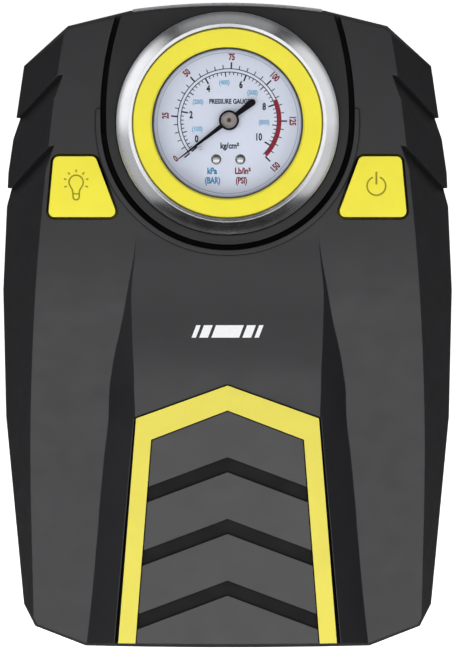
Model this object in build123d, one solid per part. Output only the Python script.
"""Portable 12 V tyre inflator: a flat casing that lies on four rubber feet with its pressure gauge facing up.

Frame: origin on the floor under the middle of the casing, +X to the right of the face, +Y towards the lamp
end, +Z up out of the face. Lengths are millimetres. Every solid is modelled in its assembled place.
"""

from build123d import *
import math
import os

# ---- Casing: driving dimensions ----------------------------------------------------------------------
END_Y = 88.5  # half of the casing's length
LENS_PROUD = 0.4  # the lamp lens stands this far out of the end wall
FOOT_HEIGHT = 2.0  # how far the feet stand below the back cover
SPLIT_Z = 30.0  # joint between the two covers
WALL = 2.4  # casing wall
BACK_DRAFT = 9.0  # degrees: the back cover narrows towards the floor
FRONT_DRAFT = 3.0  # degrees: the front cover narrows towards the face
FACET_FOOT_Z = 34.0  # where the sloping side facets meet the upright side wall
CENTRE_FLAT = 24.0  # half width of the level middle of the face
WING_FALL = 1.8  # fall of the face from its level middle to the facet edge
VALLEY_DEPTH = 14.0  # how deep the raised tongue's 45 degree flanks are carried into the casing
TONGUE_WALL = 3.8  # the cover is thicker under the trim and the grille
GAP = 0.65  # visible gap round the buttons
STATION_PITCH = 6.0  # spacing of the sections that the face and tongue are drawn through

# Right-hand half of the casing's outline at the joint, from the lamp end to the hose end.
SIDE_POINTS = [
    (26.8, 86.6),
    (43.9, 82.4),
    (56.0, 71.4),
    (60.3, 42.0),
    (61.7, 9.8),
    (60.9, -25.0),
    (56.0, -76.5),
    (52.9, -82.6),
    (39.0, -88.0),
]

# Cross-sections of the face: y, height of the middle, half width at the facet edge, half width at its foot.
FACE_SECTIONS = [
    (95.0, 52.4, 42.0, 52.5),
    (71.4, 54.8, 46.2, 56.0),
    (42.0, 56.2, 49.8, 60.3),
    (9.8, 56.5, 52.6, 61.7),
    (-25.0, 51.8, 54.0, 60.9),
    (-76.5, 48.6, 53.3, 56.0),
    (-95.0, 47.2, 52.9, 54.2),
]

# The raised tongue down the middle of the face: y, height, half width of its top.
TONGUE_SECTIONS = [
    (28.0, 56.4, 24.6),
    (22.0, 56.85, 25.1),
    (8.0, 57.5, 26.4),
    (-14.0, 59.2, 25.6),
    (-26.0, 58.57, 25.2),
    (-95.0, 54.9, 30.8),
]

# ---- Gauge housing, bezel and gauge ------------------------------------------------------------------
GAUGE_Y = 55.4
SHIELD_RADIUS = 33.2
SHIELD_GROOVE = 1.6
LIP_WIDTH = 1.3
LIP_HEIGHT = 0.7
TRAY_Z = 46.0  # floor of the well that the housing sits in
TRAY_FLOOR = 2.4
TRAY_WALL = 2.0
HOUSING_PROUD = 0.5
BEZEL_SEAT_Z = 52.0
BEZEL_RADIUS = 30.5
INSERT_RADIUS = 26.05
WINDOW_RADIUS = 20.7
CASE_RADIUS = 21.5
CASE_BORE = 20.3
CASE_BOTTOM_Z = 36.0
LENS_Z = 57.5
LENS_THICKNESS = 1.5
DIAL_Z = 53.5  # printed face of the dial
ARBOR_X = 0.4  # the pointer's axis stands a little off the middle of the bezel
ARBOR_Y = 56.2
NEEDLE_REST_DEG = 217.5  # direction of the pointer at zero pressure
SECTOR_TEETH = 120
ARBOR_TEETH = 12
MOVEMENT_MODULE = 0.25
PIVOT_Y = ARBOR_Y + MOVEMENT_MODULE * (SECTOR_TEETH + ARBOR_TEETH) / 2
PLATE_LOW_Z = 44.0
PLATE_HIGH_Z = 50.0
SOCKET_Y = 41.2
SOCKET_PORT_Z = 32.0

# ---- Trim frame and grille on the tongue, right-hand halves ------------------------------------------
TRIM_OUTER = [(0.0, -16.4), (25.0, -25.4), (30.4, -93.0)]
TRIM_INNER = [(0.0, -23.2), (20.9, -31.2), (25.7, -93.0)]
POCKET_OUTER = [(0.0, -16.1), (25.5, -25.2), (31.5, -93.0)]
PANEL_EDGE = [(0.0, -23.5), (20.65, -31.4), (25.45, -93.0)]
TRIM_PROUD = 0.8
POCKET_DEPTH = 2.2
CHEVRON_APEX_YS = (-36.0, -52.9, -69.8)
CHEVRON_HEIGHT = 4.1
CHEVRON_SLOPE = 0.375
SLOT_DEPTH = 1.7
STRIP_THICKNESS = 0.5

# ---- Buttons and switches ----------------------------------------------------------------------------
BUTTON_CORNERS = [(36.2, 46.3), (30.0, 29.7), (49.1, 29.7), (47.6, 46.3)]
BUTTON_ROUND = 1.6
BUTTON_PROUD = 0.9
BUTTON_TRAVEL = 1.5
BUTTON_BASE_Z = 50.2
FLANGE_TOP_Z = 51.4
SWITCH_X = 41.0
SWITCH_Y = 38.0
SWITCH_TOP_Z = 46.2
STEM_GAP = 0.3  # between a pressed button's stem and its switch
BOARD_Z = 40.8
BOARD_THICKNESS = 1.6

# ---- Lamp in the end wall ----------------------------------------------------------------------------
LAMP_HALF_WIDTH = 26.0
LAMP_Z = (32.5, 43.2)
LAMP_THICKNESS = 3.4
LED_BOARD_Y = 79.2
LED_XS = (-20.0, -12.0, -4.0, 4.0, 12.0, 20.0)

# ---- Motor and gears ---------------------------------------------------------------------------------
AXIS_Z = 26.0  # height of the motor, crank and cylinder axes
MOTOR_X = -28.0
MOTOR_RADIUS = 17.9
MOTOR_FRONT_Y = -8.0
MOTOR_REAR_Y = -58.0
SHAFT_RADIUS = 1.6
RUNNING_FIT = 0.05
GEAR_MODULE = 0.8
GEAR_TEETH = 48
PINION_TEETH = 12
PRESSURE_ANGLE = 25.0
BACKLASH = 0.12
GEAR_BACK_Y = -1.5
GEAR_FRONT_Y = 6.0
CRANK_X = MOTOR_X + GEAR_MODULE * (GEAR_TEETH + PINION_TEETH) / 2
AXLE_RADIUS = 3.0

# ---- Pump --------------------------------------------------------------------------------------------
CRANK_RADIUS = 6.0
ROD_LENGTH = 36.0
ROD_Y = 10.5  # middle plane of the rod and the cylinder
ROD_THICKNESS = 4.6
PIN_RADIUS = 2.0
PIN_GAP = 0.3  # the crank pin stops this far short of the gear
WRIST_RADIUS = 1.8
WRIST_X = CRANK_X + CRANK_RADIUS + ROD_LENGTH
PISTON_X = (31.0, 43.3)
BORE_RADIUS = 9.5
PISTON_FIT = 0.08
FRAME_BACK_Y = -8.0
FRAME_FRONT_Y = -3.0
BRIDGE_X = (17.5, 20.5)
CYLINDER_RADIUS = 11.5
FIN_RADIUS = 14.5
FIN_XS = (26.0, 30.0, 34.0, 38.0)
HEAD_X = 44.0
VALVE_PLATE = 1.6
HEAD_TOP_X = 54.0
HEAD_HALF = 14.0
BOLT_OFFSET = 11.6
BOLT_RADIUS = 1.3
BARB_X = 49.0
BARB_RADIUS = 1.5
TUBE_RADIUS = 2.5

# ---- Ports, feet and screws --------------------------------------------------------------------------
PORT_BAY_X = (3.0, 37.0)
PORT_WALL_Y = -74.0
PORT_WALL = 2.4
PORT_BAY_Z = 24.0
PORT_Z = 13.0
HOSE_PORT_X = 27.5
SPIGOT_RADIUS = 3.0
SPIGOT_END_Y = -85.5
CORD_PORT_X = 12.0
CORD_BORE = 2.8
FOOT_PLACES = [(43.0, 52.0), (-43.0, 52.0), (45.0, -60.0), (-45.0, -60.0)]
FOOT_RADIUS = 6.0
SCREW_PLACES = [(42.0, 70.0), (-42.0, 70.0), (51.5, -36.0), (-51.5, -36.0), (44.5, -76.0), (-44.5, -76.0)]
SCREW_RADIUS = 1.45
SCREW_HEAD_Z = 8.0
SCREW_TOP_Z = 40.0

# ---- Grip grooves: plan ends of the stepped line and of the line where the groove runs out -----------
GRIP_GROOVES = [
    ([(57.6, 57.1), (46.1, 68.9)], [(57.9, 51.0), (47.2, 62.6)]),
    ([(59.5, 37.8), (48.8, 49.1)], [(59.8, 32.6), (49.4, 43.3)]),
]
GROOVE_DEPTH = 1.2

CASING_TOP_Z = 70.0  # above everything, for cuts that go right through
BACK_Z = FOOT_HEIGHT
FLOOR_Z = BACK_Z + WALL


# ---- Small helpers -----------------------------------------------------------------------------------
def polygon(points):
    return make_face(Polyline(*points, close=True))


def up(face, z_from, z_to):
    """The flat XY face as a prism between two heights."""
    return Pos(0, 0, z_from) * extrude(face, z_to - z_from, dir=(0, 0, 1))


def post(radius, z_from, z_to, x=0.0, y=0.0):
    return Pos(x, y, (z_from + z_to) / 2) * Cylinder(radius, z_to - z_from)


def ring(outer, inner, z_from, z_to, x=0.0, y=0.0):
    return post(outer, z_from, z_to, x, y) - post(inner, z_from - 1, z_to + 1, x, y)


def block(x0, x1, y0, y1, z0, z1):
    return Pos((x0 + x1) / 2, (y0 + y1) / 2, (z0 + z1) / 2) * Box(x1 - x0, y1 - y0, z1 - z0)


def turned(profile):
    """A solid of revolution about Z from (radius, height) points."""
    face = make_face(Polyline(*[(r, 0, z) for r, z in profile], close=True))
    return revolve(face, Axis.Z)


def on_y(shape, x, y, z):
    """Lays a shape that was built up from z = 0 along -Y, its base at y."""
    return Pos(x, y, z) * Rot(X=90) * shape


def on_x(shape, x, y, z):
    """Lays a shape that was built up from z = 0 along +X, its base at x."""
    return Pos(x, y, z) * Rot(Y=90) * shape


def rod_y(radius, y_from, y_to, x, z):
    return on_y(post(radius, 0, y_to - y_from), x, y_to, z)


def rod_x(radius, x_from, x_to, y, z):
    return on_x(post(radius, 0, x_to - x_from), x_from, y, z)


def both_sides(shape):
    return [shape, mirror(shape, about=Plane.YZ)]


def fuse(*shapes):
    result = shapes[0]
    for shape in shapes[1:]:
        result = result + shape
    return result


def group(*shapes):
    """Separate solids kept in one node."""
    return Compound(children=[solid for shape in shapes for solid in shape.solids()])


def gear_face(module, teeth, backlash):
    """A spur gear's outline with stub involute teeth, one tooth centred on +X."""
    pitch = module * teeth / 2
    base = pitch * math.cos(math.radians(PRESSURE_ANGLE))
    tip = pitch + 0.8 * module
    root = pitch - 1.1 * module

    def involute(radius):
        angle = math.acos(min(1.0, base / radius))
        return math.tan(angle) - angle

    half_tooth = math.pi / (2 * teeth) - backlash / (2 * pitch)
    start = max(base, root)
    flank = [start + (tip - start) * k / 4 for k in range(5)]
    offsets = [half_tooth + involute(pitch) - involute(radius) for radius in flank]
    points = []
    for tooth in range(teeth):
        centre = 2 * math.pi * tooth / teeth
        sides = [(root, -offsets[0])] + list(zip(flank, [-o for o in offsets]))
        sides += list(zip(reversed(flank), reversed(offsets))) + [(root, offsets[0])]
        if start == root:
            sides = sides[1:-1]
        points += [(r * math.cos(centre + a), r * math.sin(centre + a)) for r, a in sides]
    return polygon(points)


def tube_path(points):
    """Straight runs joined by tangent arcs, each as large as its two runs allow."""
    vectors = [Vector(*p) for p in points]
    radii = []
    for before, corner, after in zip(vectors, vectors[1:], vectors[2:]):
        turn = math.radians((corner - before).get_angle(after - corner))
        run = min((corner - before).length, (after - corner).length)
        radii.append(0.45 * run / math.tan(turn / 2))
    return FilletPolyline(*points, radius=radii)


def tube(points, radius):
    path = tube_path(points)
    start = Plane(origin=path @ 0, z_dir=path % 0)
    return sweep(start * Circle(radius), path=path)


# ---- Casing forms ------------------------------------------------------------------------------------
def outline(inset=0.0):
    """The casing's outline at the joint, or the same outline moved inwards."""
    right = list(reversed(SIDE_POINTS))
    left = [(-x, y) for x, y in SIDE_POINTS]
    edges = [
        Polyline(*right),
        ThreePointArc(right[-1], (0, END_Y), left[0]),
        Polyline(*left),
        ThreePointArc(left[-1], (0, -END_Y), right[0]),
    ]
    face = make_face(edges)
    return offset(face, -inset, kind=Kind.INTERSECTION) if inset else face


def between(rows, y, column, smooth=True):
    """A value at y between rows of (y, values...): on a smooth curve through them, or on straight lines."""
    def slope(k):
        return (rows[k + 1][column] - rows[k][column]) / (rows[k + 1][0] - rows[k][0])

    def tangent(k):
        if k in (0, len(rows) - 1):
            return slope(min(k, len(rows) - 2))
        before, after = rows[k - 1][0] - rows[k][0], rows[k][0] - rows[k + 1][0]
        return (slope(k - 1) * after + slope(k) * before) / (before + after)

    k = next(k for k in range(len(rows) - 1) if y >= rows[k + 1][0] or k == len(rows) - 2)
    run = rows[k + 1][0] - rows[k][0]
    t = (y - rows[k][0]) / run
    straight = rows[k][column] + slope(k) * run * t
    if not smooth:
        return straight
    lift = (tangent(k) - slope(k)) * (1 - t) - (tangent(k + 1) - slope(k)) * t
    return straight + lift * run * t * (1 - t)


def stations(rows):
    """Evenly spaced places along Y, from the first row to the last."""
    first, last = rows[0][0], rows[-1][0]
    count = round((first - last) / STATION_PITCH)
    return [first + (last - first) * k / count for k in range(count + 1)]


def face_form(inset=0.0):
    """The faceted face of the front cover, as a solid down to below the joint."""
    low_z = SPLIT_Z - 10
    sections = []
    for y in stations(FACE_SECTIONS):
        height, edge = between(FACE_SECTIONS, y, 1), between(FACE_SECTIONS, y, 2)
        foot = between(FACE_SECTIONS, y, 3, smooth=False)
        edge_z = height - WING_FALL
        reach = (foot - edge) * (edge_z - low_z) / (edge_z - FACET_FOOT_Z)
        base = edge + reach - 1.1 * inset
        rim = edge - 0.64 * inset
        half = [(base, low_z), (rim, edge_z - inset), (CENTRE_FLAT, height - inset)]
        points = [(x, y, z) for x, z in half] + [(-x, y, z) for x, z in reversed(half)]
        sections.append(polygon(points))
    return loft(sections)


def tongue_form(inset=0.0):
    """The raised tongue, with flanks at 45 degrees."""
    sections = []
    for y in stations(TONGUE_SECTIONS):
        height, half_width = between(TONGUE_SECTIONS, y, 1), between(TONGUE_SECTIONS, y, 2, smooth=False)
        top = (half_width - 0.4 * inset, height - inset)
        foot = (top[0] + VALLEY_DEPTH, top[1] - VALLEY_DEPTH)
        points = [(x, y, z) for x, z in (top, foot)] + [(-x, y, z) for x, z in (foot, top)]
        sections.append(polygon(points))
    return loft(sections)


def upright_walls(inset=0.0):
    walls = extrude(outline(inset), CASING_TOP_Z - SPLIT_Z, dir=(0, 0, 1), taper=FRONT_DRAFT)
    return Pos(0, 0, SPLIT_Z) * walls


def front_form(inset=0.0, rise=None, tongue_inset=None):
    """Everything inside the front cover's surface, moved inwards by inset; rise lifts the face alone."""
    top = inset if rise is None else -rise
    tongue = top if tongue_inset is None else tongue_inset
    return upright_walls(inset) & (face_form(top) + tongue_form(tongue))


def back_form(inset=0.0):
    """Everything inside the back cover's outer surface, moved inwards by inset."""
    depth = SPLIT_Z - BACK_Z - inset
    body = extrude(outline(inset), depth, dir=(0, 0, 1), taper=BACK_DRAFT)
    return Pos(0, 0, SPLIT_Z) * mirror(body, about=Plane.XY)


def shield(grow=0.0):
    """Outline of the gauge housing: round below the gauge, drawn up to the lamp end."""
    radius = SHIELD_RADIUS + grow
    shoulder, top = (32.0 + grow, 72.8), (27.3 + grow, 90.0)
    edges = [
        ThreePointArc((-radius, GAUGE_Y), (0, GAUGE_Y - radius), (radius, GAUGE_Y)),
        ThreePointArc((radius, GAUGE_Y), shoulder, top),
        Line(top, (-top[0], top[1])),
        ThreePointArc((-top[0], top[1]), (-shoulder[0], shoulder[1]), (-radius, GAUGE_Y)),
    ]
    return make_face(edges)


def gauge_disc(outer, inner, z_from, z_to):
    return ring(outer, inner, z_from, z_to, 0, GAUGE_Y)


def half_to_whole(points):
    """A closed polygon from its right-hand half."""
    return points + [(-x, y) for x, y in reversed(points) if x > 0]


def button_face(grow=0.0):
    face = polygon(BUTTON_CORNERS)
    face = fillet(face.vertices(), BUTTON_ROUND)
    return offset(face, grow) if grow else face


def chevron_face(apex_y):
    """One chevron-shaped band across the grille."""
    reach = 32.0
    drop = reach * CHEVRON_SLOPE
    upper = [(-reach, apex_y - drop), (0, apex_y), (reach, apex_y - drop)]
    lower = [(x, y - CHEVRON_HEIGHT) for x, y in reversed(upper)]
    return polygon(upper + lower)


def face_section_at(y):
    """Height of the middle, facet edge and facet foot at any place along the casing."""
    for far, near in zip(FACE_SECTIONS, FACE_SECTIONS[1:]):
        if near[0] <= y <= far[0]:
            part = (y - near[0]) / (far[0] - near[0])
            return [n + part * (f - n) for f, n in zip(far[1:], near[1:])]


def on_facet(x, y):
    height, edge, foot = face_section_at(y)
    edge_z = height - WING_FALL
    return Vector(x, y, edge_z + (x - edge) / (foot - edge) * (FACET_FOOT_Z - edge_z))


def outline_x(y):
    for far, near in zip(SIDE_POINTS, SIDE_POINTS[1:]):
        if near[1] <= y <= far[1]:
            return near[0] + (y - near[1]) / (far[1] - near[1]) * (far[0] - near[0])


def grip_groove(step, runout):
    """A groove on the right-hand side: cut in at the step line and running out at the other."""
    foot_in, edge_in = (on_facet(*p) for p in step)
    foot_out, edge_out = (on_facet(*p) for p in runout)
    outward = (foot_out - foot_in).cross(edge_in - foot_in).normalized()
    if outward.X < 0:
        outward = outward * -1
    sections = []
    for reach in (-0.3, 1.15):
        inner = foot_in + (edge_in - foot_in) * reach
        outer = foot_out + (edge_out - foot_out) * reach
        sections.append(polygon([outer, outer + outward, inner + outward, inner - outward * GROOVE_DEPTH]))
    on_slope = loft(sections, ruled=True)
    y_in, y_out = step[0][1], runout[0][1]
    notch = [(outline_x(y_out), y_out), (75, y_out), (75, y_in), (outline_x(y_in) - GROOVE_DEPTH, y_in)]
    return on_slope + up(polygon(notch), 20, FACET_FOOT_Z + 3)


def cut_grips(cover):
    for step, runout in GRIP_GROOVES:
        for side in both_sides(grip_groove(step, runout)):
            cover = cover - side
    return cover


# ---- Casing parts ------------------------------------------------------------------------------------
def front_cover():
    cover = front_form() - front_form(WALL, tongue_inset=TONGUE_WALL)
    cover = cover - up(offset(outline(), -WALL), SPLIT_Z - 1, SPLIT_Z + 0.5)
    tray_top = CASING_TOP_Z
    tray = up(shield(SHIELD_GROOVE + TRAY_WALL), TRAY_Z - TRAY_FLOOR, tray_top) & front_form(0.5, rise=0)
    lip_radius = SHIELD_RADIUS + SHIELD_GROOVE
    lip = gauge_disc(lip_radius + LIP_WIDTH, lip_radius, TRAY_Z, CASING_TOP_Z)
    lip = lip & front_form(1.0, rise=LIP_HEIGHT) & block(-45, 45, 10, GAUGE_Y + 4, TRAY_Z, CASING_TOP_Z)
    bosses = [post(3.4, SPLIT_Z, CASING_TOP_Z, x, y) for x, y in SCREW_PLACES]
    hangers = [post(1.8, BOARD_Z + BOARD_THICKNESS, CASING_TOP_Z, s * x, y)
               for s in (1, -1) for x, y in ((39.0, 25.5), (41.0, 50.0))]
    cheeks = both_sides(block(26.3, 28.3, 78.0, 90, 33.0, TRAY_Z - TRAY_FLOOR + 0.5))
    inside = front_form(1.2)
    for piece in bosses + hangers + cheeks:
        cover = cover + (piece & inside)
    cover = cover + tray + lip
    cover = cover - up(shield(SHIELD_GROOVE), TRAY_Z, CASING_TOP_Z)
    cover = cover - post(CASE_RADIUS + 0.5, 30, TRAY_Z + 1, 0, GAUGE_Y)
    pocket = up(polygon(half_to_whole(POCKET_OUTER)), 40, CASING_TOP_Z) - front_form(0, rise=-POCKET_DEPTH)
    cover = cover - pocket
    for opening in both_sides(up(button_face(GAP), 44, CASING_TOP_Z)):
        cover = cover - opening
    window = block(-LAMP_HALF_WIDTH - 0.15, LAMP_HALF_WIDTH + 0.15, 80, 95, LAMP_Z[0] - 0.15, LAMP_Z[1] + 0.15)
    cover = cover - window
    for x, y in SCREW_PLACES:
        cover = cover - post(SCREW_RADIUS + RUNNING_FIT, SPLIT_Z - 1, SCREW_TOP_Z + 1, x, y)
    joint = up(outline(WALL / 2 - 0.1), SPLIT_Z - 1, SPLIT_Z + 1.7)
    return cut_grips(cover - joint)


def back_cover():
    cover = back_form() - back_form(WALL)
    lip = up(outline(WALL / 2 + 0.1), SPLIT_Z - 0.5, SPLIT_Z + 1.4) - up(outline(WALL), SPLIT_Z - 1, SPLIT_Z + 2)
    inside = back_form(1.0)
    bosses = [post(4.4, BACK_Z, SPLIT_Z, x, y) for x, y in SCREW_PLACES]
    bay = block(PORT_BAY_X[0] - 2, PORT_BAY_X[1] + 2, -90, PORT_WALL_Y + PORT_WALL, BACK_Z, PORT_BAY_Z + 2)
    cradles = [block(-42, -14, y, y + 3, BACK_Z, 17) for y in (-53.0, -22.0)]
    frame_rests = [
        block(-44, -36, FRAME_BACK_Y, FRAME_FRONT_Y, BACK_Z, 8),
        block(12.5, BRIDGE_X[1], FRAME_BACK_Y, FRAME_FRONT_Y, BACK_Z, 8),
        block(BRIDGE_X[0], BRIDGE_X[1], 16, ROD_Y + HEAD_HALF, BACK_Z, AXIS_Z - HEAD_HALF),
    ]
    for piece in bosses + cradles + frame_rests + [bay]:
        cover = cover + (piece & inside)
    cover = cover + lip
    cover = cover - block(PORT_BAY_X[0], PORT_BAY_X[1], -95, PORT_WALL_Y, -1, PORT_BAY_Z)
    cover = cover - rod_y(4.05, PORT_WALL_Y - 1, PORT_WALL_Y + PORT_WALL + 1, HOSE_PORT_X, PORT_Z)
    cover = cover - rod_y(5.0, PORT_WALL_Y - 1, PORT_WALL_Y + PORT_WALL + 1, CORD_PORT_X, PORT_Z)
    cover = cover - rod_y(MOTOR_RADIUS + RUNNING_FIT, -60, -10, MOTOR_X, AXIS_Z)
    for x, y in SCREW_PLACES:
        cover = cover - post(3.0, -1, SCREW_HEAD_Z, x, y)
        cover = cover - post(SCREW_RADIUS + 0.15, 0, SPLIT_Z + 3, x, y)
    for x, y in FOOT_PLACES:
        cover = cover - post(FOOT_RADIUS + RUNNING_FIT, 0, BACK_Z + 0.8, x, y)
    for y in (-60.0, -64.0, -68.0):
        cover = cover - block(-38, -18, y - 1, y + 1, -1, FLOOR_Z + 1)
    for y in (2.0, 6.0, 10.0, 14.0, 18.0):
        cover = cover - block(28, 42, y - 1, y + 1, -1, FLOOR_Z + 1)
    return cut_grips(cover)


def gauge_housing():
    plate = up(shield(), TRAY_Z, CASING_TOP_Z) & front_form(0, rise=HOUSING_PROUD)
    hollow = up(shield(-WALL), TRAY_Z - 1, BEZEL_SEAT_Z - WALL) & upright_walls(WALL)
    plate = plate - hollow
    plate = plate - post(BEZEL_RADIUS + 0.2, BEZEL_SEAT_Z, CASING_TOP_Z, 0, GAUGE_Y)
    return plate - post(CASE_RADIUS + 0.5, TRAY_Z, CASING_TOP_Z, 0, GAUGE_Y)


def bezel_ring():
    """A ring with a nearly flat sloping flank and a small round crown along its inner edge."""
    inner, outer = INSERT_RADIUS + 0.1, BEZEL_RADIUS
    seat = Polyline((inner, 0, 62.02), (inner, 0, BEZEL_SEAT_Z), (outer, 0, BEZEL_SEAT_Z), (outer, 0, 59.4))
    flank = ThreePointArc((outer, 0, 59.4), (28.9, 0, 60.98), (27.1, 0, 62.3))
    crown = Line((27.1, 0, 62.3), (inner, 0, 62.02))
    profile = make_face([*seat.edges(), *flank.edges(), *crown.edges()])
    return Pos(0, GAUGE_Y, 0) * revolve(profile, Axis.Z)


def bezel_insert():
    lens_room = LENS_Z + LENS_THICKNESS + 0.1
    profile = [
        (CASE_RADIUS + 0.7, BEZEL_SEAT_Z),
        (INSERT_RADIUS, BEZEL_SEAT_Z),
        (INSERT_RADIUS, 61.1),
        (INSERT_RADIUS - 0.4, 61.4),
        (WINDOW_RADIUS + 0.5, 60.8),
        (WINDOW_RADIUS, 60.3),
        (WINDOW_RADIUS, lens_room),
        (CASE_RADIUS + 0.7, lens_room),
    ]
    return Pos(0, GAUGE_Y, 0) * turned(profile)


def trim_frame():
    face = polygon(TRIM_OUTER + list(reversed(TRIM_INNER))[:-1] + [TRIM_INNER[0]]
                   + [(-x, y) for x, y in TRIM_INNER[1:]] + [(-x, y) for x, y in reversed(TRIM_OUTER[1:])])
    return (up(face, 40, CASING_TOP_Z) & front_form(0, rise=TRIM_PROUD)) - front_form(-1, rise=-POCKET_DEPTH)


def grille_panel():
    face = polygon(half_to_whole(PANEL_EDGE))
    panel = (up(face, 40, CASING_TOP_Z) & front_form()) - front_form(-1, rise=-POCKET_DEPTH)
    slots = [up(chevron_face(y), 40, CASING_TOP_Z) for y in CHEVRON_APEX_YS]
    return panel - (fuse(*slots) - front_form(-1, rise=-SLOT_DEPTH))


def vent_strips():
    face = polygon(half_to_whole(PANEL_EDGE))
    low, high = front_form(-1, rise=-SLOT_DEPTH), front_form(0, rise=STRIP_THICKNESS - SLOT_DEPTH)
    strips = [(up(chevron_face(y), 40, CASING_TOP_Z) & up(face, 40, CASING_TOP_Z) & high) - low
              for y in CHEVRON_APEX_YS]
    return group(*strips)


def button():
    """The right-hand button with its retaining flange and stem."""
    cap = up(button_face(), BUTTON_BASE_Z, CASING_TOP_Z) & front_form(0, rise=BUTTON_PROUD)
    flange = up(button_face(0.9), BUTTON_BASE_Z, FLANGE_TOP_Z) & front_form(WALL + 0.4)
    flange = flange - post(SHIELD_RADIUS + SHIELD_GROOVE + TRAY_WALL + 0.3, 45, 55, 0, GAUGE_Y)
    stem = post(1.8, SWITCH_TOP_Z + BUTTON_TRAVEL + STEM_GAP, BUTTON_BASE_Z + 0.5, SWITCH_X, SWITCH_Y)
    return cap + flange + stem


def switches():
    top = BOARD_Z + BOARD_THICKNESS
    body = Pos(SWITCH_X, SWITCH_Y, top + 1.5) * Box(9, 9, 3)
    return group(*both_sides(body + post(1.5, top + 2.5, SWITCH_TOP_Z, SWITCH_X, SWITCH_Y)))


def switch_boards():
    return group(*both_sides(block(35.5, 47.0, 23.0, 52.5, BOARD_Z, BOARD_Z + BOARD_THICKNESS)))


def lamp_lens():
    slab = block(-LAMP_HALF_WIDTH, LAMP_HALF_WIDTH, 70, 95, *LAMP_Z)
    return (slab & upright_walls(-LENS_PROUD)) - upright_walls(LAMP_THICKNESS)


def lamp_reflector():
    top = TRAY_Z - TRAY_FLOOR
    body = block(-25.4, 25.4, LED_BOARD_Y + 1.4, 95, 32.8, top) & upright_walls(LAMP_THICKNESS)
    for x in LED_XS:
        body = body - rod_y(3.3, 70, 95, x, 38.0)
    return body


def led_board():
    return block(-25.0, 25.0, LED_BOARD_Y, LED_BOARD_Y + 1.4, 33.0, TRAY_Z - TRAY_FLOOR)


def leds():
    return group(*[Pos(x, LED_BOARD_Y + 2.0, 38.0) * Box(3.5, 1.2, 3.5) for x in LED_XS])


# ---- Pressure gauge ----------------------------------------------------------------------------------
def gauge_case():
    profile = [
        (0, CASE_BOTTOM_Z),
        (CASE_RADIUS, CASE_BOTTOM_Z),
        (CASE_RADIUS, TRAY_Z),
        (CASE_RADIUS + 3.5, TRAY_Z),
        (CASE_RADIUS + 3.5, TRAY_Z + 1.5),
        (CASE_RADIUS, TRAY_Z + 1.5),
        (CASE_RADIUS, LENS_Z),
        (CASE_BORE, LENS_Z),
        (CASE_BORE, DIAL_Z - 0.8),
        (CASE_BORE - 0.9, DIAL_Z - 0.8),
        (CASE_BORE - 0.9, DIAL_Z - 1.8),
        (CASE_BORE, DIAL_Z - 2.7),
        (CASE_BORE, CASE_BOTTOM_Z + 1.5),
        (0, CASE_BOTTOM_Z + 1.5),
    ]
    return Pos(0, GAUGE_Y, 0) * turned(profile) - post(4.0, 30, 40, 0, SOCKET_Y)


def gauge_dial():
    plate = post(CASE_BORE - 0.1, DIAL_Z - 0.8, DIAL_Z, 0, GAUGE_Y)
    return plate - post(1.0, 50, 60, ARBOR_X, ARBOR_Y)


def gauge_lens():
    return post(22.0, LENS_Z, LENS_Z + LENS_THICKNESS, 0, GAUGE_Y)


def dial_screws():
    spots = [(ARBOR_X - 3.5, ARBOR_Y - 10.7), (ARBOR_X + 3.1, ARBOR_Y - 10.7)]
    domes = []
    for x, y in spots:
        dome = Pos(x, y, DIAL_Z - 1.6) * Sphere(2.2) & post(1.4, DIAL_Z, DIAL_Z + 1, x, y)
        domes.append(dome)
    return group(*domes)


def stop_pin():
    angle = math.radians(NEEDLE_REST_DEG + 7)
    reach = 11.0
    return post(0.5, DIAL_Z, DIAL_Z + 2, ARBOR_X + reach * math.cos(angle), ARBOR_Y + reach * math.sin(angle))


def gauge_needle():
    blade = [(-8.0, 0.95), (-2.2, 0.6), (2.2, 0.62), (17.6, 0.12)]
    face = polygon(blade + [(x, -y) for x, y in reversed(blade)])
    shape = up(face, 0, 0.5) + post(0.95, 0, 0.5, -8.0, 0) + post(2.75, 0, 0.5)
    shape = shape - post(0.6, -1, 2)
    return Pos(ARBOR_X, ARBOR_Y, DIAL_Z + 1.2) * Rot(Z=NEEDLE_REST_DEG) * shape


def needle_hub():
    cap = turned([(0.6, -0.6), (1.7, -0.6), (1.7, 0), (0.6, 0)])
    top = turned([(0.6, 0.5), (2.2, 0.5), (2.2, 1.1), (2.1, 1.2), (1.8, 1.2), (1.7, 0.8), (0.6, 0.8)])
    return Pos(ARBOR_X, ARBOR_Y, DIAL_Z + 1.2) * group(cap, top)


def gauge_arbor():
    teeth = Rot(Z=180 / ARBOR_TEETH) * up(gear_face(MOVEMENT_MODULE, ARBOR_TEETH, 0.03), 46.4, 49.4)
    return Pos(ARBOR_X, ARBOR_Y, 0) * (teeth + post(0.6, PLATE_LOW_Z + 0.3, DIAL_Z + 2.4))


def sector_gear():
    wheel = up(gear_face(MOVEMENT_MODULE, SECTOR_TEETH, 0.03), 47.0, 48.4)
    edges = [math.radians(a) for a in (238.5, 257, 274.5)]
    slice_face = polygon([(0, 0)] + [(25 * math.cos(a), 25 * math.sin(a)) for a in edges])
    sector = (wheel & up(slice_face, 46, 50)) + post(2.0, 46.4, 49.0) + post(0.8, PLATE_LOW_Z + 0.3, 50.7)
    return Pos(ARBOR_X, PIVOT_Y, 0) * sector


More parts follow.
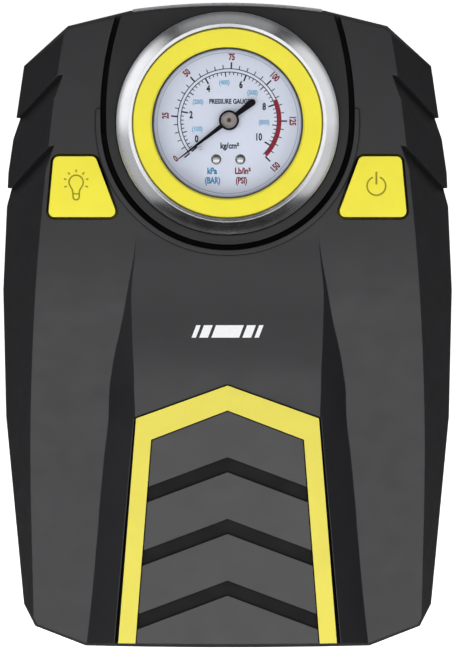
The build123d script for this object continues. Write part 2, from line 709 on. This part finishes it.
def movement_plates():
    half = [(5.0, 74.6), (10.0, 71.0), (13.5, 62.0), (12.0, 50.0), (5.0, 39.0)]
    face = polygon(half + [(-x, y) for x, y in reversed(half)])
    low, high = up(face, PLATE_LOW_Z, PLATE_LOW_Z + 1.2), up(face, PLATE_HIGH_Z, PLATE_HIGH_Z + 1.0)
    pillars = [post(1.2, PLATE_LOW_Z, PLATE_HIGH_Z + 1, x, y) for x, y in ((-9.0, 66.0), (9.6, 66.0), (0, 42.0))]
    plates = fuse(low, high, *pillars)
    plates = plates - post(0.6 + RUNNING_FIT, 40, 60, ARBOR_X, ARBOR_Y)
    return plates - post(0.8 + RUNNING_FIT, 40, 60, ARBOR_X, PIVOT_Y)


def gauge_socket():
    shank = post(4.0, 28.6, 38.5, 0, SOCKET_Y) + block(-4, 4, 38.9, 43.5, 38.5, PLATE_LOW_Z)
    barb = rod_x(BARB_RADIUS, 3, 11, SOCKET_Y, SOCKET_PORT_Z)
    bore = rod_x(0.7, 0, 12, SOCKET_Y, SOCKET_PORT_Z)
    return shank + barb - bore


def bourdon_tube():
    tube_ring = gauge_disc(14.8, 13.6, 39.4, 43.2)
    open_part = block(-30, 0, 30, GAUGE_Y + 2, 38, 44)
    return tube_ring - open_part - block(-4, 4, 38.9, 43.5, 38, 44)


# ---- Motor -------------------------------------------------------------------------------------------
def along_motor(radius, y_from, y_to):
    return rod_y(radius, y_from, y_to, MOTOR_X, AXIS_Z)


def motor_can():
    shell = along_motor(MOTOR_RADIUS, MOTOR_REAR_Y, MOTOR_FRONT_Y) - along_motor(16.5, MOTOR_REAR_Y - 1, MOTOR_FRONT_Y - 2)
    return shell + along_motor(6.0, MOTOR_FRONT_Y - 1, -5.5) - along_motor(3.0, -12, -5)


def motor_end_bell():
    bell = along_motor(16.4, MOTOR_REAR_Y, MOTOR_REAR_Y + 2) + along_motor(MOTOR_RADIUS, MOTOR_REAR_Y - 2, MOTOR_REAR_Y)
    return bell - along_motor(3.0, MOTOR_REAR_Y - 3, MOTOR_REAR_Y + 3)


def motor_bushes():
    front = along_motor(3.0, -10, -5.5) - along_motor(SHAFT_RADIUS + RUNNING_FIT, -11, -5)
    rear = along_motor(3.0, -60, -56) - along_motor(SHAFT_RADIUS + RUNNING_FIT, -61, -55)
    return group(front, rear)


def motor_magnets():
    arcs = along_motor(16.4, -48, -14) - along_motor(13.4, -49, -13)
    return arcs - block(MOTOR_X - 5.5, MOTOR_X + 5.5, -50, -12, 0, 60)


def motor_brushes():
    blocks = [block(MOTOR_X + s, MOTOR_X + s + 7, -53.5, -50.5, AXIS_Z - 2, AXIS_Z + 2) for s in (-11.5, 4.5)]
    return group(*[b - along_motor(5.0 + RUNNING_FIT, -56, -48) for b in blocks])


def armature_core():
    core = post(12.9, 0, 28) - post(SHAFT_RADIUS, -1, 29)
    for k in range(5):
        slot = Pos(9, 0, 14) * Box(9, 1.8, 30) + post(2.9, -1, 29, 8.4, 0)
        core = core - Rot(Z=72 * k) * slot
    return on_y(core, MOTOR_X, -16, AXIS_Z)


def armature_windings():
    coil = along_motor(12.2, -48, -12) - along_motor(4.0, -49, -11)
    return coil - armature_core()


def commutator():
    return along_motor(5.0, -54.8, -48.4) - along_motor(SHAFT_RADIUS, -56, -47)


def motor_shaft():
    return along_motor(SHAFT_RADIUS, -67.5, GEAR_FRONT_Y)


def fan():
    wheel = post(5, 0, 5.6) + post(15, 4.4, 5.6)
    for k in range(9):
        blade = Pos(9.6, 0, 2.4) * Box(9.6, 1.1, 4.8)
        wheel = wheel + Rot(Z=40 * k) * blade
    return on_y(wheel - post(SHAFT_RADIUS, -1, 7), MOTOR_X, -61.4, AXIS_Z)


def pinion():
    wheel = up(gear_face(GEAR_MODULE, PINION_TEETH, BACKLASH), 0, GEAR_FRONT_Y - GEAR_BACK_Y)
    return on_y(wheel - post(SHAFT_RADIUS, -1, 10), MOTOR_X, GEAR_FRONT_Y, AXIS_Z)


# ---- Pump --------------------------------------------------------------------------------------------
def drive_frame():
    frame = block(-46, BRIDGE_X[1], FRAME_BACK_Y, FRAME_FRONT_Y, 8, 44)
    frame = frame + block(*BRIDGE_X, FRAME_BACK_Y, ROD_Y + HEAD_HALF, AXIS_Z - HEAD_HALF, AXIS_Z + HEAD_HALF)
    frame = frame - along_motor(6.0 + RUNNING_FIT, -10, 0)
    frame = frame - rod_y(AXLE_RADIUS, -10, 0, CRANK_X, AXIS_Z)
    frame = frame - rod_x(CYLINDER_RADIUS, 10, 30, ROD_Y, AXIS_Z)
    for y, z in bolt_places():
        frame = frame - rod_x(BOLT_RADIUS, 10, 30, y, z)
    return frame


def bolt_places():
    return [(ROD_Y + s * BOLT_OFFSET, AXIS_Z + t * BOLT_OFFSET) for s in (1, -1) for t in (1, -1)]


def drive_gear():
    wheel = up(gear_face(GEAR_MODULE, GEAR_TEETH, BACKLASH), 0, GEAR_FRONT_Y - GEAR_BACK_Y) - post(4.4, -1, 10)
    wheel = Rot(Z=180 / GEAR_TEETH) * wheel
    for k in range(5):
        wheel = wheel - Rot(Z=36 + 72 * k) * post(2.8, -1, 10, 12.5, 0)
    return on_y(wheel, CRANK_X, GEAR_FRONT_Y, AXIS_Z)


def gear_bush():
    sleeve = rod_y(4.4, GEAR_BACK_Y - 0.4, GEAR_FRONT_Y - 1.4, CRANK_X, AXIS_Z)
    return sleeve - rod_y(AXLE_RADIUS + RUNNING_FIT, -5, 10, CRANK_X, AXIS_Z)


def gear_axle():
    """The gear's fixed axle; its head is sunk in the gear so that the rod passes over it."""
    shaft = rod_y(AXLE_RADIUS, FRAME_BACK_Y, GEAR_FRONT_Y - 1, CRANK_X, AXIS_Z)
    return shaft + rod_y(3.8, GEAR_FRONT_Y - 1.1, GEAR_FRONT_Y - 0.3, CRANK_X, AXIS_Z)


def con_rod():
    pin_x = CRANK_X + CRANK_RADIUS
    low, high = ROD_Y - ROD_THICKNESS / 2, ROD_Y + ROD_THICKNESS / 2
    rod = rod_y(4.8, low, high, pin_x, AXIS_Z) + rod_y(3.0, low, high, WRIST_X, AXIS_Z)
    rod = rod + block(pin_x, WRIST_X, low + 0.6, high - 0.6, AXIS_Z - 2.2, AXIS_Z + 2.2)
    rod = rod - rod_y(2.8, low - 1, high + 1, pin_x, AXIS_Z)
    return rod - rod_y(WRIST_RADIUS + RUNNING_FIT, low - 1, high + 1, WRIST_X, AXIS_Z)


def big_end_bush():
    pin_x = CRANK_X + CRANK_RADIUS
    low, high = ROD_Y - ROD_THICKNESS / 2, ROD_Y + ROD_THICKNESS / 2
    return rod_y(2.8, low, high, pin_x, AXIS_Z) - rod_y(PIN_RADIUS, low - 1, high + 1, pin_x, AXIS_Z)


def crank_pin():
    pin_x = CRANK_X + CRANK_RADIUS
    high = ROD_Y + ROD_THICKNESS / 2
    pin = rod_y(PIN_RADIUS, GEAR_FRONT_Y + PIN_GAP, high + 1, pin_x, AXIS_Z)
    return pin + rod_y(3.2, high, high + 1, pin_x, AXIS_Z)


def piston():
    body = rod_x(BORE_RADIUS - PISTON_FIT, *PISTON_X, ROD_Y, AXIS_Z)
    body = body - block(PISTON_X[0] - 1, 41.5, ROD_Y - 3, ROD_Y + 3, AXIS_Z - 6.5, AXIS_Z + 6.5)
    body = body - rod_y(WRIST_RADIUS, 0, 25, WRIST_X, AXIS_Z)
    groove = rod_x(12, 40.6, 42.0, ROD_Y, AXIS_Z) - rod_x(8.2, 40, 43, ROD_Y, AXIS_Z)
    return body - groove


def piston_ring():
    return rod_x(BORE_RADIUS - 0.04, 40.6, 42.0, ROD_Y, AXIS_Z) - rod_x(8.4, 40, 43, ROD_Y, AXIS_Z)


def wrist_pin():
    return rod_y(WRIST_RADIUS, ROD_Y - 7.6, ROD_Y + 7.6, WRIST_X, AXIS_Z)


def cylinder():
    barrel = rod_x(CYLINDER_RADIUS, BRIDGE_X[0], HEAD_X, ROD_Y, AXIS_Z)
    for x in FIN_XS:
        barrel = barrel + rod_x(FIN_RADIUS, x, x + 1.2, ROD_Y, AXIS_Z)
    barrel = barrel + rod_x(14.2, BRIDGE_X[1], BRIDGE_X[1] + 2.5, ROD_Y, AXIS_Z)
    barrel = barrel + rod_x(14.2, HEAD_X - 2.4, HEAD_X, ROD_Y, AXIS_Z)
    return barrel - rod_x(BORE_RADIUS, 10, 50, ROD_Y, AXIS_Z)


def pump_block(x_from, x_to):
    """A square block on the cylinder's axis, drilled for the bolts."""
    body = block(x_from, x_to, ROD_Y - HEAD_HALF, ROD_Y + HEAD_HALF, AXIS_Z - HEAD_HALF, AXIS_Z + HEAD_HALF)
    for y, z in bolt_places():
        body = body - rod_x(BOLT_RADIUS, 30, 60, y, z)
    return body


def valve_plate():
    plate = pump_block(HEAD_X, HEAD_X + VALVE_PLATE)
    return plate - rod_x(1.2, 40, 50, ROD_Y + 4, AXIS_Z) - rod_x(1.2, 40, 50, ROD_Y - 4, AXIS_Z)


def cylinder_head():
    head = pump_block(HEAD_X + VALVE_PLATE, HEAD_TOP_X)
    head = head - block(HEAD_X, 50.5, ROD_Y - 7, ROD_Y + 7, AXIS_Z - 7, AXIS_Z + 7)
    y_low, y_high = ROD_Y - HEAD_HALF, ROD_Y + HEAD_HALF
    head = head + rod_y(BARB_RADIUS, y_high, y_high + 6.5, BARB_X, AXIS_Z)
    head = head + rod_y(BARB_RADIUS, y_low - 6.5, y_low, BARB_X, AXIS_Z)
    return head - rod_y(0.8, y_low - 8, y_high + 8, BARB_X, AXIS_Z)


def head_bolts():
    bolts = []
    for y, z in bolt_places():
        shank = rod_x(BOLT_RADIUS, BRIDGE_X[0] + 0.2, HEAD_TOP_X + 0.5, y, z)
        bolts.append(shank + rod_x(2.3, HEAD_TOP_X, HEAD_TOP_X + 1.5, y, z))
    return group(*bolts)


def hollow_tube(points):
    return tube(points, TUBE_RADIUS) - tube(points, BARB_RADIUS)


def gauge_tube():
    start_y = ROD_Y + HEAD_HALF + 0.5
    return hollow_tube([
        (BARB_X, start_y, AXIS_Z),
        (BARB_X, SOCKET_Y, AXIS_Z),
        (28.0, SOCKET_Y, SOCKET_PORT_Z),
        (4.5, SOCKET_Y, SOCKET_PORT_Z),
    ])


def outlet_tube():
    start_y = ROD_Y - HEAD_HALF - 0.5
    return hollow_tube([
        (BARB_X, start_y, AXIS_Z),
        (BARB_X, start_y - 12, AXIS_Z),
        (37.5, -34.0, 19.0),
        (HOSE_PORT_X, -52.0, PORT_Z),
        (HOSE_PORT_X, -68.0, PORT_Z),
    ])


# ---- Ports, feet and screws --------------------------------------------------------------------------
def hose_outlet():
    inner_face, outer_face = PORT_WALL_Y + PORT_WALL, PORT_WALL_Y

    def run(radius, y_from, y_to):
        return rod_y(radius, y_from, y_to, HOSE_PORT_X, PORT_Z)

    body = run(SPIGOT_RADIUS, SPIGOT_END_Y, outer_face) + run(5.0, outer_face - 2, outer_face)
    body = body + run(4.0, outer_face - 1, inner_face + 1) + run(5.5, inner_face, inner_face + 2.5)
    body = body + run(BARB_RADIUS, inner_face, inner_face + 9)
    return body - run(0.8, -90, -60)


def cord_grommet():
    inner_face, outer_face = PORT_WALL_Y + PORT_WALL, PORT_WALL_Y

    def run(radius, y_from, y_to):
        return rod_y(radius, y_from, y_to, CORD_PORT_X, PORT_Z)

    body = run(5.0, outer_face - 1, inner_face + 1) + run(6.4, outer_face - 2, outer_face)
    return body + run(6.4, inner_face, inner_face + 1.6) - run(CORD_BORE, -90, -60)


def rubber_feet():
    foot = post(FOOT_RADIUS, 0.6, BACK_Z + 0.8) + Pos(0, 0, 0.3) * Cone(FOOT_RADIUS - 0.6, FOOT_RADIUS, 0.6)
    return group(*[Pos(x, y, 0) * foot for x, y in FOOT_PLACES])


def case_screws():
    screws = []
    for x, y in SCREW_PLACES:
        head = post(2.7, SCREW_HEAD_Z - 2.2, SCREW_HEAD_Z, x, y)
        head = head - Pos(x, y, SCREW_HEAD_Z - 2.2) * (Box(3.2, 0.7, 1.6) + Box(0.7, 3.2, 1.6))
        screws.append(head + post(SCREW_RADIUS, SCREW_HEAD_Z - 0.5, SCREW_TOP_Z, x, y))
    return group(*screws)


NODES = {
    "front_cover": front_cover,
    "back_cover": back_cover,
    "gauge_housing": gauge_housing,
    "bezel_ring": bezel_ring,
    "bezel_insert": bezel_insert,
    "trim_frame": trim_frame,
    "grille_panel": grille_panel,
    "vent_strips": vent_strips,
    "power_button": button,
    "light_button": lambda: mirror(button(), about=Plane.YZ),
    "switches": switches,
    "switch_boards": switch_boards,
    "lamp_lens": lamp_lens,
    "lamp_reflector": lamp_reflector,
    "led_board": led_board,
    "leds": leds,
    "gauge_case": gauge_case,
    "gauge_dial": gauge_dial,
    "gauge_lens": gauge_lens,
    "dial_screws": dial_screws,
    "stop_pin": stop_pin,
    "gauge_needle": gauge_needle,
    "needle_hub": needle_hub,
    "gauge_arbor": gauge_arbor,
    "sector_gear": sector_gear,
    "movement_plates": movement_plates,
    "gauge_socket": gauge_socket,
    "bourdon_tube": bourdon_tube,
    "motor_can": motor_can,
    "motor_end_bell": motor_end_bell,
    "motor_bushes": motor_bushes,
    "motor_magnets": motor_magnets,
    "motor_brushes": motor_brushes,
    "armature_core": armature_core,
    "armature_windings": armature_windings,
    "commutator": commutator,
    "motor_shaft": motor_shaft,
    "fan": fan,
    "pinion": pinion,
    "drive_frame": drive_frame,
    "drive_gear": drive_gear,
    "gear_bush": gear_bush,
    "gear_axle": gear_axle,
    "con_rod": con_rod,
    "big_end_bush": big_end_bush,
    "crank_pin": crank_pin,
    "piston": piston,
    "piston_ring": piston_ring,
    "wrist_pin": wrist_pin,
    "cylinder": cylinder,
    "valve_plate": valve_plate,
    "cylinder_head": cylinder_head,
    "head_bolts": head_bolts,
    "gauge_tube": gauge_tube,
    "outlet_tube": outlet_tube,
    "hose_outlet": hose_outlet,
    "cord_grommet": cord_grommet,
    "rubber_feet": rubber_feet,
    "case_screws": case_screws,
}

if __name__ == "__main__":
    os.makedirs("parts", exist_ok=True)
    for node, make in NODES.items():
        export_step(make(), f"parts/{node}.step")
